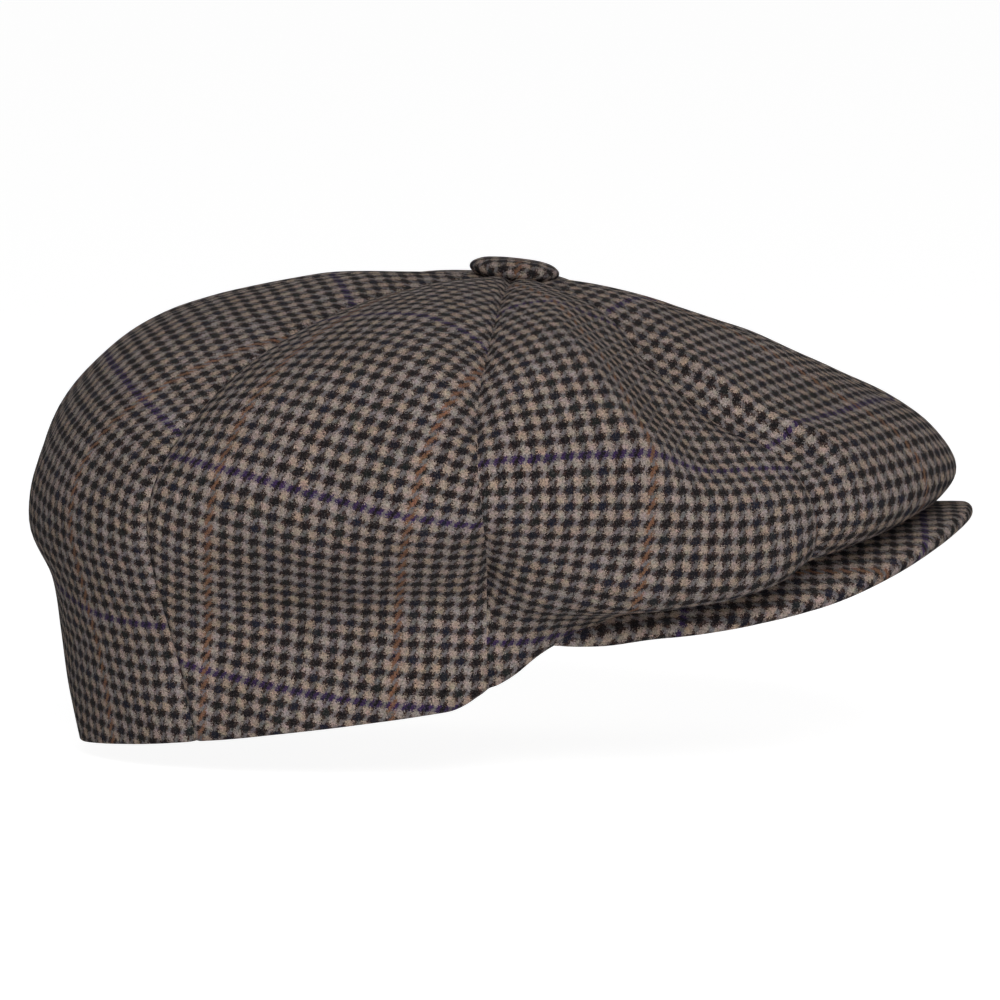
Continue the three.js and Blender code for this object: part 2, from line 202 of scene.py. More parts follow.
LEAST_WEIGHT = 0.02  # of a flattening edge, so that a thin triangle can't turn it negative
END_ROWS = 6  # the grain's direction is taken this many rows in from both ends of a gore


def smoothstep(value, start, end):
    t = np.clip((value - start) / (end - start), 0, 1)
    return t * t * (3 - 2 * t)


def hermite(a, b, slope_a, slope_b, f):
    """Cubic from a to b with the given slopes, at fraction f."""
    f2 = f * f
    f3 = f2 * f
    ends = (2 * f3 - 3 * f2 + 1) * a + (3 * f2 - 2 * f3) * b
    return ends + (f3 - 2 * f2 + f) * slope_a + (f3 - f2) * slope_b


def unit(vectors):
    return vectors / np.linalg.norm(vectors, axis=-1, keepdims=True)


def run_along(points):
    """Distance from the first row of points to each row, along the rows between."""
    steps = np.linalg.norm(np.diff(points, axis=0), axis=-1)
    return np.concatenate([np.zeros((1,) + steps.shape[1:]), np.cumsum(steps, axis=0)])


def curve_through(points, at):
    """Centripetal Catmull-Rom curve through points, at each fraction in at."""
    points = np.array(points, float)
    padded = np.vstack([2 * points[0] - points[1], points, 2 * points[-1] - points[-2]])
    place = np.clip(at, 0, 1) * (len(points) - 1)
    first = np.minimum(place.astype(int), len(points) - 2)
    p0, p1, p2, p3 = (padded[first + k] for k in range(4))
    steps = ((p0, p1), (p1, p2), (p2, p3))
    t0, t1, t2 = (np.sqrt(np.linalg.norm(b - a, axis=1))[:, None] for a, b in steps)
    slope_1 = ((p1 - p0) / t0 - (p2 - p0) / (t0 + t1) + (p2 - p1) / t1) * t1
    slope_2 = ((p2 - p1) / t1 - (p3 - p1) / (t1 + t2) + (p3 - p2) / t2) * t1
    return hermite(p1, p2, slope_1, slope_2, (place - first)[:, None])


# --- Crown surface ---


def right_twin(gore):
    """The right-hand gore of the same shape, and 1 for a gore on the right or -1 on the left."""
    if gore < RIGHT_GORES:
        return gore, 1
    return 2 * RIGHT_GORES - 1 - gore, -1


def from_front(gore, across):
    """Fractions across a gore, counted from its front seam, as one row."""
    return across[None, :] if gore < RIGHT_GORES else 1 - across[None, :]


def all_seams():
    right = [FRONT_SEAM, FRONT_SIDE_SEAM, SIDE_SEAM, REAR_SIDE_SEAM, REAR_SEAM]
    left = [[(x, -y, z) for x, y, z in seam] for seam in reversed(right[1:-1])]
    return right + left


SEAMS = all_seams()
SEAM_ANGLES = np.radians(list(RIGHT_ANGLES) + [360 - angle for angle in reversed(RIGHT_ANGLES[1:-1])])


def seam_curve(index, up):
    return curve_through(SEAMS[index % FULL_TURN_SEAMS], up)


def seam_angle(index):
    turns = np.floor_divide(index, FULL_TURN_SEAMS)
    return SEAM_ANGLES[index % FULL_TURN_SEAMS] + turns * 2 * np.pi


def hem_angle(around):
    """Angle of the hem oval at a place round the cap, counted in seams from the front."""
    first = np.floor(around).astype(int)
    a, b, c, d = (seam_angle(first + k) for k in (-1, 0, 1, 2))
    return hermite(b, c, (c - a) / 2, (d - b) / 2, around - first)


def visor_middle(x, y):
    drop = TEMPLE_DROP * (1 - smoothstep(x, TEMPLE_X, TEMPLE_X + TEMPLE_DROP_LENGTH))
    return VISOR_LEVEL + VISOR_RISE * x - VISOR_ARCH * y * y - drop


def hem_height(x, y):
    rear = HEM_REAR_LEVEL + HEM_REAR_RISE * x
    over_visor = visor_middle(x, y) + HEM_OVER_VISOR
    overlap = TEMPLE_OVERLAP * smoothstep(x, *OVERLAP_START) * (1 - smoothstep(x, *OVERLAP_FADE))
    return rear + (over_visor - rear) * smoothstep(x, HEM_CLIMB_X, HEM_LANDING_X) - overlap


def hem_points(around, inset=0):
    angle = hem_angle(around)
    x = (OPENING_HALF_LENGTH - inset) * np.cos(angle)
    y = -(OPENING_HALF_WIDTH - inset) * np.sin(angle)
    return np.stack([x, y, hem_height(x, y)], -1)


def crown_base(gore, across, up):
    """Crown without puff, as rows going up and columns going round from one seam to the next."""

    def between_seams(heights):
        a, b, c, d = (seam_curve(gore + k, heights)[:, None, :] for k in (-1, 0, 1, 2))
        return hermite(b, c, (c - a) / 2, (d - b) / 2, across[None, :, None])

    pull = np.clip(1 - up / HEM_ZONE, 0, 1)[:, None, None] ** 2
    foot = between_seams(np.zeros(1))
    return between_seams(up) + pull * (hem_points(gore + across)[None] - foot)


def crown_normals(gore, across, up):
    step = 1e-3
    round_edge = crown_base(gore, across + step, up) - crown_base(gore, across - step, up)
    above = crown_base(gore, across, np.minimum(up + step, 1))
    below = crown_base(gore, across, np.maximum(up - step, 0))
    return unit(np.cross(above - below, round_edge))


def noise_at(points, size, seed):
    """Smooth noise from -1 to 1 with features of about size mm."""
    offset = Vector((seed * 17.3, seed * -9.1, seed * 5.7))
    values = [noise.noise(Vector(point) / size + offset) for point in points.reshape(-1, 3)]
    return np.array(values).reshape(points.shape[:-1])


def swell(value, low, high, ease):
    """1 between low and high, easing to 0 at both ends."""
    ease_in, ease_out = ease
    return smoothstep(value, low, low + ease_in) * (1 - smoothstep(value, high - ease_out, high))


def bank_crest(gore, up):
    """Distance from the front-side seam to the top of the bank beside it."""
    if gore == 0:
        return np.full_like(up, FRONT_BANK_CREST)
    return np.interp(up, CREASE_UPS, CREASE_DISTANCES)


def sunk(gore, points, across, up, width):
    """Sideways shift of the crown into the hollow, and into the pits of the side seam."""
    own, side = right_twin(gore)
    back = from_front(gore, across)
    depth = np.zeros(points.shape[:2])
    hollow = HOLLOW_DEPTH * swell(up, *HOLLOW_STRETCH, HOLLOW_EASES)[:, None]
    if own == 0:
        wall = smoothstep((1 - back) * width / HOLLOW_FRONT_WIDTH, 0, 1)
        depth += hollow * (1 - wall) * (1 - SEAM_RISE)
    if own == 1:
        out = back * width / bank_crest(1, up)[:, None]
        wall = smoothstep(out, HOLLOW_FLOOR, 1)
        rise = 1 - smoothstep(out, 0, HOLLOW_FLOOR)
        depth += hollow * (1 - wall) * (1 - SEAM_RISE * rise)
    if own in (1, 2):
        level = seam_curve(2, up)[:, 2]
        pits = sum(deep * np.exp(-(((level - at) / reach) ** 2)) for at, reach, deep in SIDE_PITS)
        from_seam = (1 - back if own == 1 else back) * width
        depth += pits[:, None] * np.exp(-((from_seam / PIT_HALF_WIDTH) ** 2))
    shift = np.zeros_like(points)
    shift[..., 1] = side * depth
    return shift


def bank(distance, up, height, crest, foot):
    """Cloth that stands up beside the front-side seam, with a crease along its top."""
    rise = np.clip((distance / crest[:, None] - HOLLOW_FLOOR) / (1 - HOLLOW_FLOOR), 0, 1)
    fall = np.clip((distance - crest[:, None]) / (foot - crest)[:, None], 0, 1)
    return height * swell(up, *BANK_STRETCH, BANK_EASES)[:, None] * (rise - 1 + (1 - fall) ** 2)


def gore_relief(gore, points, across, up, width):
    """How far the wool stands out from the base surface, in mm."""
    own, _ = right_twin(gore)
    back = from_front(gore, across)
    fullness = np.sin(np.pi * up) ** PUFF_FALLOFF * smoothstep(up, NECK_UP, BELLY_UP)
    arch = 1 - (2 * across[None, :] - 1) ** 2
    if own in (1, 2):
        extra = sum(deep * np.exp(-(((up - at) / reach) ** 2)) for at, reach, deep in SIDE_PUFFS[:3 - own])
        fullness = fullness + extra / GORE_PUFF
    relief = GORE_PUFF * arch * fullness[:, None]
    from_seam = np.minimum(across[None, :], 1 - across[None, :]) * width
    relief = relief - SEAM_DEPTH * np.exp(-((from_seam / SEAM_HALF_WIDTH) ** 2))
    off_seam = smoothstep(from_seam, 0, SEAM_CALM)
    for height, size, seed in DENTS:
        relief = relief + height * noise_at(points, size, seed) * off_seam
    crest = bank_crest(own, up)
    if own == 0:
        foot = np.full_like(up, FRONT_BANK_FOOT)
        relief = relief + bank((1 - back) * width, up, FRONT_BANK_HEIGHT, crest, foot)
    if own == 1:
        relief = relief + bank(back * width, up, SIDE_BANK_HEIGHT, crest, crest + CREASE_TO_FOOT)
    return relief


def even_ups(count):
    """Heights from hem to crest, evenly spaced by the seams' mean length."""
    dense = np.linspace(0, CROWN_END, 400)
    curves = np.stack([seam_curve(k, dense) for k in range(FULL_TURN_SEAMS)])
    steps = np.linalg.norm(np.diff(curves, axis=1), axis=2).mean(0)
    length = np.concatenate([[0], np.cumsum(steps)])
    return np.interp(np.linspace(0, length[-1], count + 1), length, dense)


def crowded_ends(count):
    """Fractions from 0 to 1 that lie closer together near both ends."""
    even = np.linspace(0, 1, count + 1)
    return 0.35 * even + 0.65 * (0.5 - 0.5 * np.cos(np.pi * even))


def gore_width(base):
    """Straight distance from seam to seam on each row, as one column."""
    return np.linalg.norm(base[:, -1] - base[:, 0], axis=1)[:, None]


def wool_face(gore, across, up):
    """Outer face of a wool gore and its outward directions."""
    base = crown_base(gore, across, up)
    normals = crown_normals(gore, across, up)
    width = gore_width(base)
    relief = gore_relief(gore, base, across, up, width)
    return base + normals * relief[..., None] + sunk(gore, base, across, up, width), normals


# --- Flattening, so that the weave lies straight on each piece ---


def grid_triangles(rows, columns):
    at = np.arange(rows * columns).reshape(rows, columns)
    a, b, c, d = at[:-1, :-1], at[:-1, 1:], at[1:, 1:], at[1:, :-1]
    lower = np.stack([a, b, c], -1).reshape(-1, 3)
    upper = np.stack([a, c, d], -1).reshape(-1, 3)
    return np.vstack([lower, upper])


def first_flat(points):
    """Rough flat layout: distance along the middle column, and along each row from it."""
    rows, columns = points.shape[:2]
    middle = columns // 2
    along = run_along(points.swapaxes(0, 1)).T
    flat = np.empty((rows, columns, 2))
    flat[..., 0] = along[:, middle:middle + 1] - along
    flat[..., 1] = run_along(points[:, middle])[:, None]
    return flat


def laid_flat(points, triangles):
    """Each triangle's corners in its own plane, the first at 0 and the second on the negative x axis."""
    corners = points.reshape(-1, 3)[triangles]
    x_axis = corners[:, 1] - corners[:, 0]
    x_length = np.linalg.norm(x_axis, axis=1, keepdims=True)
    x_axis = x_axis / x_length
    side = corners[:, 2] - corners[:, 0]
    reach = (side * x_axis).sum(1, keepdims=True)
    height = np.linalg.norm(side - reach * x_axis, axis=1, keepdims=True)
    zero = np.zeros_like(reach)
    return np.stack([np.hstack([zero, zero]), np.hstack([-x_length, zero]), np.hstack([-reach, height])], 1)


def weighted_edges(own):
    """The three edges of every triangle as (corner, corner, cotangent weights)."""
    edges = []
    for i, j, opposite in ((0, 1, 2), (1, 2, 0), (2, 0, 1)):
        u = own[:, i] - own[:, opposite]
        v = own[:, j] - own[:, opposite]
        area = np.abs(u[:, 0] * v[:, 1] - u[:, 1] * v[:, 0])
        edges.append((i, j, np.maximum((u * v).sum(1) / area, LEAST_WEIGHT)))
    return edges


def inverse_system(triangles, edges, count):
    """Inverse of the matrix that gathers the edges' weights, with the first point held."""
    system = np.zeros((count, count))
    for i, j, weight in edges:
        p, q = triangles[:, i], triangles[:, j]
        np.add.at(system, (p, p), weight)
        np.add.at(system, (q, q), weight)
        np.add.at(system, (p, q), -weight)
        np.add.at(system, (q, p), -weight)
    system[0, 0] += 1
    return np.linalg.inv(system)


def best_turns(flat, own, triangles, edges):
    """Cosine and sine of the turn that brings each triangle closest to its place in flat."""
    spread = np.zeros((len(triangles), 2, 2))
    for i, j, weight in edges:
        now = flat[triangles[:, i]] - flat[triangles[:, j]]
        rest = own[:, i] - own[:, j]
        spread += weight[:, None, None] * now[:, :, None] * rest[:, None, :]
    angle = np.arctan2(spread[:, 1, 0] - spread[:, 0, 1], spread[:, 0, 0] + spread[:, 1, 1])
    return np.cos(angle), np.sin(angle)


def flatten(points):
    """Flat coordinates of a grid that stretch the cloth as little as possible (as rigid as possible)."""
    rows, columns = points.shape[:2]
    flat = first_flat(points).reshape(-1, 2)
    triangles = grid_triangles(rows, columns)
    own = laid_flat(points, triangles)
    edges = weighted_edges(own)
    inverse = inverse_system(triangles, edges, len(flat))
    for _ in range(FLATTEN_STEPS):
        cos, sin = best_turns(flat, own, triangles, edges)
        pull = np.zeros_like(flat)
        for i, j, weight in edges:
            rest = own[:, i] - own[:, j]
            turned_x = cos * rest[:, 0] - sin * rest[:, 1]
            turned_y = sin * rest[:, 0] + cos * rest[:, 1]
            step = weight[:, None] * np.stack([turned_x, turned_y], 1)
            np.add.at(pull, triangles[:, i], step)
            np.add.at(pull, triangles[:, j], -step)
        pull[0] += flat[0]
        flat = inverse @ pull
    return flat.reshape(rows, columns, 2)


def resample(values, row_from, row_to, column_from, column_to):
    """Values of a grid read off at other rows and columns."""
    out = np.empty((len(row_to), len(column_to), values.shape[2]))
    for k in range(values.shape[2]):
        on_rows = np.array([np.interp(row_to, row_from, column) for column in values[..., k].T]).T
        out[..., k] = np.array([np.interp(column_to, column_from, row) for row in on_rows])
    return out


def gore_cloth(gore, across, up):
    """Weave coordinates of a gore in mm: across the grain and along it."""
    coarse_across = crowded_ends(FLAT_COLUMNS)
    coarse_up = np.linspace(0, CROWN_END, FLAT_ROWS + 1)
    face, _ = wool_face(gore, coarse_across, coarse_up)
    flat = flatten(face)
    middle = FLAT_COLUMNS // 2
    run = flat[-END_ROWS, middle] - flat[END_ROWS, middle]
    own, side = right_twin(gore)
    turn, shift_x, shift_y = GORE_CUTS[own]
    angle = math.atan2(run[0], run[1]) + side * math.radians(turn)
    cos = math.cos(angle)
    sin = math.sin(angle)
    x, y = np.moveaxis(flat - flat[FLAT_ROWS // 2, middle], 2, 0)
    turned = np.stack([x * cos - y * sin + side * shift_x, x * sin + y * cos + shift_y], -1)
    return resample(turned, coarse_up, up, coarse_across, across)


# --- Meshes ---

SHARP_ANGLE = math.radians(55)


def make_piece(name, points, faces, cloth=None):
    """A mesh object from points and cloth coordinates in mm."""
    mesh = bpy.data.meshes.new(name)
    mesh.from_pydata((np.asarray(points).reshape(-1, 3) * MM).tolist(), [], faces)
    if cloth is not None:
        flat = np.zeros((len(mesh.vertices), 3), np.float32)
        flat[:, :2] = np.asarray(cloth).reshape(-1, 2) * MM
        mesh.attributes.new("cloth", "FLOAT_VECTOR", "POINT").data.foreach_set("vector", flat.ravel())
    piece = bpy.data.objects.new(name, mesh)
    bpy.context.scene.collection.objects.link(piece)
    mesh.validate()
    mesh.shade_smooth()
    return piece


def loop_shell(sections, closed):
    """Faces of a shell whose rows go once round its thickness, for sections of shape (rows, columns)."""
    rows, columns = sections
    quads = []
    for row in range(rows):
        below = row * columns
        above = (row + 1) % rows * columns
        for column in range(columns if closed else columns - 1):
            after = (column + 1) % columns
            quads.append((below + column, below + after, above + after, above + column))
    return quads


def end_caps(rows_out, rows_in, columns):
    """Faces that close a loop shell's first and last column: the outer rows face the inner ones."""
    total = rows_out + rows_in
    caps = []
    for column, flip in ((0, True), (columns - 1, False)):
        for k in range(min(rows_out, rows_in) - 1):
            a = k * columns + column
            b = (k + 1) * columns + column
            c = (total - 2 - k) * columns + column
            d = (total - 1 - k) * columns + column
            caps.append((d, c, b, a) if flip else (a, b, c, d))
    return caps


def outward(piece):
    """Turns every face of a closed mesh to look out."""
    work = bmesh.new()
    work.from_mesh(piece.data)
    bmesh.ops.recalc_face_normals(work, faces=work.faces)
    work.to_mesh(piece.data)
    work.free()


def shell(name, outer, inner, outer_cloth, inner_cloth=None, closed=False):
    """A closed shell from an outer and an inner grid, each with its weave coordinates."""
    rows, columns = outer.shape[:2]
    if inner_cloth is None:
        inner_cloth = outer_cloth
    points = np.concatenate([outer, inner[::-1]])
    cloth = np.concatenate([outer_cloth, inner_cloth[::-1]])
    faces = loop_shell((2 * rows, columns), closed)
    if not closed:
        faces += end_caps(rows, rows, columns)
    piece = make_piece(name, points, faces, cloth)
    outward(piece)
    piece.data.set_sharp_from_angle(angle=SHARP_ANGLE)
    return piece


# --- Materials ---


def linear(red, green, blue):
    """Linear colour of 0-255 display values."""
    return tuple((value / 255) ** 2.2 for value in (red, green, blue))


class Shader:
    """Short calls that add nodes to one material."""

    def __init__(self, name):
        self.material = bpy.data.materials.new(name)
        self.material.use_nodes = True
        self.tree = self.material.node_tree
        self.principled = self.tree.nodes["Principled BSDF"]

    def put(self, value, socket):
        if isinstance(value, bpy.types.NodeSocket):
            self.tree.links.new(value, socket)
        elif isinstance(value, tuple) and len(value) == 3 and socket.type == "RGBA":
            socket.default_value = (*value, 1)
        else:
            socket.default_value = value

    def node(self, kind, inputs, output=0, **settings):
        added = self.tree.nodes.new(kind)
        for name, value in settings.items():
            setattr(added, name, value)
        for name, value in inputs.items():
            self.put(value, added.inputs[name])
        return added.outputs[output]

    def cloth(self):
        """Weave coordinates in metres."""
        return self.node("ShaderNodeAttribute", {}, output="Vector", attribute_name="cloth")

    def position(self):
        """Place on the piece in metres."""
        return self.node("ShaderNodeTexCoord", {}, output="Object")

    def math(self, operation, *values):
        inputs = dict(enumerate(values))
        return self.node("ShaderNodeMath", inputs, operation=operation)

    def vector_math(self, operation, *values):
        inputs = dict(enumerate(values))
        return self.node("ShaderNodeVectorMath", inputs, operation=operation)

    def mix(self, factor, a, b):
        inputs = {0: factor, 6: a, 7: b}
        return self.node("ShaderNodeMix", inputs, output=2, data_type="RGBA")

    def noise(self, vector, scale, detail=2.0, output="Fac", roughness=0.5):
        inputs = {"Vector": vector, "Scale": scale, "Detail": detail, "Roughness": roughness}
        return self.node("ShaderNodeTexNoise", inputs, output=output)

    def split(self, vector):
        parts = self.tree.nodes.new("ShaderNodeSeparateXYZ")
        self.put(vector, parts.inputs[0])
        return parts.outputs[0], parts.outputs[1], parts.outputs[2]

    def scaled(self, vector, factor):
        result = self.vector_math("SCALE", vector)
        self.put(factor, result.node.inputs["Scale"])
        return result

    def wobble(self, vector, scale, detail, reach, roughness=0.5):
        """Random offset in the cloth's plane, with a full swing of about reach metres."""
        around = self.noise(vector, scale, detail, "Color", roughness)
        around = self.vector_math("SUBTRACT", around, (0.5, 0.5, 0.5))
        return self.vector_math("MULTIPLY", around, (reach, reach, 0))

    def ripple(self, phase):
        """Rounded threads side by side, one for each half turn of the phase."""
        return self.math("ABSOLUTE", self.math("SINE", phase))

    def rounded(self, value):
        """1 in the middle of each whole step of the value and 0 at its edges."""
        inside = self.math("SUBTRACT", self.math("FRACT", value), 0.5)
        return self.math("SUBTRACT", 1.0, self.math("MULTIPLY", self.math("MULTIPLY", inside, inside), 4.0))

    def spread(self, value, low, high, to_low, to_high):
        """Value from low..high mapped to to_low..to_high, and held there."""
        inputs = {"Value": value, "From Min": low, "From Max": high, "To Min": to_low, "To Max": to_high}
        return self.node("ShaderNodeMapRange", inputs)

    def set(self, **values):
        for name, value in values.items():
            self.put(value, self.principled.inputs[name.replace("_", " ")])

    def bump(self, height, distance, strength):
        inputs = {"Height": height, "Distance": distance, "Strength": strength}
        return self.node("ShaderNodeBump", inputs, output="Normal")


PALE_YARN = linear(184, 161, 143)
PINKISH_YARN = linear(150, 139, 134)
TAIL_YARN = linear(112, 107, 108)
DARK_YARN = linear(29, 25, 28)
BROWN_YARN = linear(60, 45, 41)
NAVY_YARN = linear(30, 33, 48)
GREEN_YARN = linear(34, 38, 37)
RUST_YARN = linear(126, 90, 70)
PURPLE_YARN = linear(60, 44, 80)
FIBRE_GREY = linear(98, 92, 90)
NAVY_THREADS = (0.55, 0.95, 0, 0.9)  # a block's chance of turning navy, and how far it does
GREEN_THREADS = (0.7, 0.95, 0, 0.8)
BLOCK_SHADES = (0.84, 1.16)  # darkest and lightest block
TAIL_SHARPNESS = 3.0
GROUP = 4.0  # threads of one colour side by side
TWILL = 4.0  # each thread passes over two and under two
FUZZ_SCALE = 2300  # fibres at the blocks' edges
FIBRE_SCALE = 1900  # light and dark fibres
GREY_SCALE = 2400  # pale fibres on top
TINT_SCALE = 520  # fibres of other colours
TINT_SWING = (0.4, 0.25, 0.4)
CLOUD_SCALE = 38  # wide lighter and darker places
WOOL_RELIEF = 0.00022
WEAVE_RELIEF = 0.00008
RIB_WIDTH = 0.0011
RIB_THREAD = 0.0004


def loosened_threads(shader, cloth, position):
    """Thread numbers across and along the cloth, with fuzzy edges, and the same again with less fuzz."""
    wander = shader.wobble(cloth, 45, 1, 0.0012)
    fuzz = shader.wobble(position, FUZZ_SCALE, 2, WOOL_FUZZ * MM, roughness=0.6)
    wandering = shader.vector_math("ADD", cloth, wander)
    start = (80.0 * RUST_SPACING, 40.0 * PURPLE_SPACING, 0)  # so that no thread's number is negative
    both = []
    for share in (1.0, TWILL_FUZZ):
        moved = shader.vector_math("ADD", wandering, shader.scaled(fuzz, share))
        both.append(shader.vector_math("ADD", shader.scaled(moved, 1 / (THREAD * MM)), start))
    return both


def middle_distance(shader, threads):
    """0 in the middle of a group of threads and 1 at its edges."""
    place = shader.math("FRACT", shader.math("MULTIPLY", threads, 1 / GROUP))
    return shader.math("MULTIPLY", shader.math("ABSOLUTE", shader.math("SUBTRACT", place, 0.5)), 2.0)


def wool_colour(shader, threads, warp_on_top, warp_index, weft_index):
    """Pale and dark blocks, the tails between them, and the coloured overcheck threads."""
    past_group = GROUP - 0.5
    warp_pale = shader.math("GREATER_THAN", shader.math("MODULO", warp_index, 2 * GROUP), past_group)
    weft_pale = shader.math("GREATER_THAN", shader.math("MODULO", weft_index, 2 * GROUP), past_group)
    block_pale = shader.math("MULTIPLY", warp_pale, weft_pale)
    any_pale = shader.math("MAXIMUM", warp_pale, weft_pale)
    rust_warp = shader.math("LESS_THAN", shader.math("MODULO", warp_index, RUST_SPACING), past_group)
    purple_weft = shader.math("LESS_THAN", shader.math("MODULO", weft_index, PURPLE_SPACING), past_group)
    weft_on_top = shader.math("SUBTRACT", 1.0, warp_on_top)

    repeat = 1 / (2 * GROUP)
    cells = shader.vector_math("FLOOR", shader.vector_math("MULTIPLY", threads, (repeat, repeat, 0)))
    chance = shader.node("ShaderNodeTexWhiteNoise", {"Vector": cells}, output="Color", noise_dimensions="2D")
    warmth, blueness, greenness = shader.split(chance)
    pale = shader.mix(warmth, PALE_YARN, PINKISH_YARN)
    across, along, _ = shader.split(threads)
    off_middle = shader.mix(warp_pale, middle_distance(shader, across), middle_distance(shader, along))
    tail = shader.mix(shader.math("POWER", off_middle, TAIL_SHARPNESS), TAIL_YARN, pale)
    pale = shader.mix(block_pale, tail, pale)
    dark = shader.mix(shader.spread(blueness, *NAVY_THREADS), DARK_YARN, NAVY_YARN)
    dark = shader.mix(shader.spread(greenness, *GREEN_THREADS), dark, GREEN_YARN)
    dark = shader.mix(any_pale, dark, BROWN_YARN)
    woven = shader.mix(shader.mix(warp_on_top, weft_pale, warp_pale), dark, pale)
    woven = shader.mix(shader.math("MULTIPLY", rust_warp, warp_on_top), woven, RUST_YARN)
    woven = shader.mix(shader.math("MULTIPLY", purple_weft, weft_on_top), woven, PURPLE_YARN)
    return shader.scaled(woven, shader.spread(warmth, 0, 1, *BLOCK_SHADES))


def heathered(shader, woven, position, fibres):
    """The woven colour with fibres of other colours, and with lighter and darker places."""
    tint = shader.noise(position, TINT_SCALE, 2, output="Color")
    tint = shader.vector_math("MULTIPLY", shader.vector_math("SUBTRACT", tint, (0.5, 0.5, 0.5)), TINT_SWING)
    woven = shader.vector_math("MULTIPLY", woven, shader.vector_math("ADD", tint, (1, 1, 1)))
    grey = shader.spread(shader.noise(position, GREY_SCALE, 1), 0.5, 0.75, 0.0, 0.45)
    woven = shader.mix(grey, woven, FIBRE_GREY)
    clouds = shader.spread(shader.noise(position, CLOUD_SCALE, 2), 0.3, 0.7, 0.92, 1.08)
    return shader.scaled(woven, shader.math("MULTIPLY", shader.spread(fibres, 0.3, 0.7, 0.4, 1.75), clouds))


def wool_material():
    """Houndstooth: a twill of four dark and four pale threads both ways, with an overcheck."""
    shader = Shader("wool")
    cloth = shader.cloth()
    position = shader.position()
    threads, clear_threads = loosened_threads(shader, cloth, position)
    across, along, _ = shader.split(threads)
    warp_index = shader.math("FLOOR", across)
    weft_index = shader.math("FLOOR", along)
    clear_across, clear_along, _ = shader.split(clear_threads)
    steep = shader.math("SUBTRACT", clear_across, shader.math("MULTIPLY", clear_along, TWILL_LEAN))
    warp_on_top = shader.math("LESS_THAN", shader.math("MODULO", steep, TWILL), TWILL / 2)
    woven = wool_colour(shader, threads, warp_on_top, warp_index, weft_index)
    fibres = shader.noise(position, FIBRE_SCALE, 3, roughness=0.7)
    threads_high = shader.mix(warp_on_top, shader.rounded(along), shader.rounded(across))
    height = shader.math("ADD", threads_high, shader.math("MULTIPLY", fibres, 1.6))
    shader.set(
        Base_Color=heathered(shader, woven, position, fibres),
        Roughness=0.94,
        Normal=shader.bump(height, WOOL_RELIEF, 0.7),
        Specular_IOR_Level=0.12,
        Sheen_Weight=0.03,
        Sheen_Roughness=0.5,
        Sheen_Tint=(0.95, 0.92, 0.9),
    )
    return shader.material


def woven_material(name, colour, size, roughness, sheen, specular):
    """Plain or satin cloth with a fine weave of the given thread size in metres, with painted shade between
    its threads.
    """
    shader = Shader(name)
    cloth = shader.cloth()
    position = shader.position()
    phase = math.pi / size
    across, along, _ = shader.split(shader.vector_math("MULTIPLY", cloth, (phase, phase, 0)))
    weave = shader.math("MULTIPLY", shader.ripple(across), shader.ripple(along))
    clouds = shader.noise(position, 60, 3)
    cloudy = shader.spread(clouds, 0.3, 0.7, 0.8, 1.15)
    # painted shade: the colour is lighter on the thread crowns and darker in the gaps between threads, added
    # to the random cloudy tone
    shade = shader.math("ADD", cloudy, shader.math("MULTIPLY", weave, 0.25))
    shader.set(
        Base_Color=shader.scaled(colour, shade),
        Roughness=shader.spread(clouds, 0.3, 0.7, roughness - 0.05, roughness + 0.07),
        Normal=shader.bump(weave, WEAVE_RELIEF, 0.8),
        Specular_IOR_Level=specular,
        Sheen_Weight=sheen,
    )
    return shader.material


def ribbed_material():
    """Grosgrain of the sweatband: fine upright ribs, with painted shade in the grooves between them."""
    shader = Shader("sweatband")
    cloth = shader.cloth()
    position = shader.position()
    across, along, _ = shader.split(cloth)
    rib = shader.ripple(shader.math("MULTIPLY", across, math.pi / RIB_WIDTH))
    thread = shader.ripple(shader.math("MULTIPLY", along, math.pi / RIB_THREAD))
    fuzz = shader.noise(position, 1800, 2)
    height = shader.math("ADD", rib, shader.math("MULTIPLY", thread, 0.25))
    # painted shade: the colour is lighter on the ribs' crowns and darker in the grooves between them, added
    # to the random fuzz tone
    shade = shader.math("ADD", shader.math("MULTIPLY", rib, 0.35), shader.spread(fuzz, 0.3, 0.7, 0.55, 0.95))
    shader.set(
        Base_Color=shader.scaled(linear(78, 68, 64), shade),
        Roughness=shader.spread(fuzz, 0.3, 0.7, 0.68, 0.85),
        Normal=shader.bump(height, 0.0002, 0.8),
        Specular_IOR_Level=0.3,
        Sheen_Weight=0.15,
    )
    return shader.material


def board_material():
    shader = Shader("visor_board")
    position = shader.position()
    grain = shader.noise(position, 900, 3)
    colour = shader.mix(grain, linear(224, 218, 206), linear(240, 236, 228))
    shader.set(
        Base_Color=colour,
        Roughness=shader.spread(grain, 0.3, 0.7, 0.45, 0.6),
        Normal=shader.bump(grain, 0.00003, 0.5),
    )
    return shader.material


def steel_material():
    shader = Shader("plated_steel")
    position = shader.position()
    brushed = shader.noise(shader.vector_math("MULTIPLY", position, (400, 400, 4000)), 1, 2)
    colour = shader.mix(brushed, linear(160, 158, 152), linear(190, 188, 182))
    shader.set(
        Base_Color=colour,
        Metallic=1.0,
        Roughness=shader.spread(brushed, 0.3, 0.7, 0.28, 0.42),
        Normal=shader.bump(brushed, 0.00002, 0.4),
    )
    return shader.material


def all_materials():
    return {
        "wool": wool_material(),
        "lining": woven_material("lining", linear(104, 84, 78), 0.0003, 0.36, 0.1, 0.5),
        "sweatband": ribbed_material(),
        "tape": woven_material("tape", linear(205, 196, 176), 0.0006, 0.85, 0.05, 0.2),
        "board": board_material(),
        "steel": steel_material(),
    }


MATERIALS = all_materials()


def dress(piece, material):
    piece.data.materials.clear()
    piece.data.materials.append(MATERIALS[material])


def attach(piece, flexes):
    """The piece rides on the crown, or, where it flexes, keeps its place with its transform applied to its
    points.
    """
    if flexes:
        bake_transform(piece)
    else:
        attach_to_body(piece, "crown")


# --- Crown pieces ---


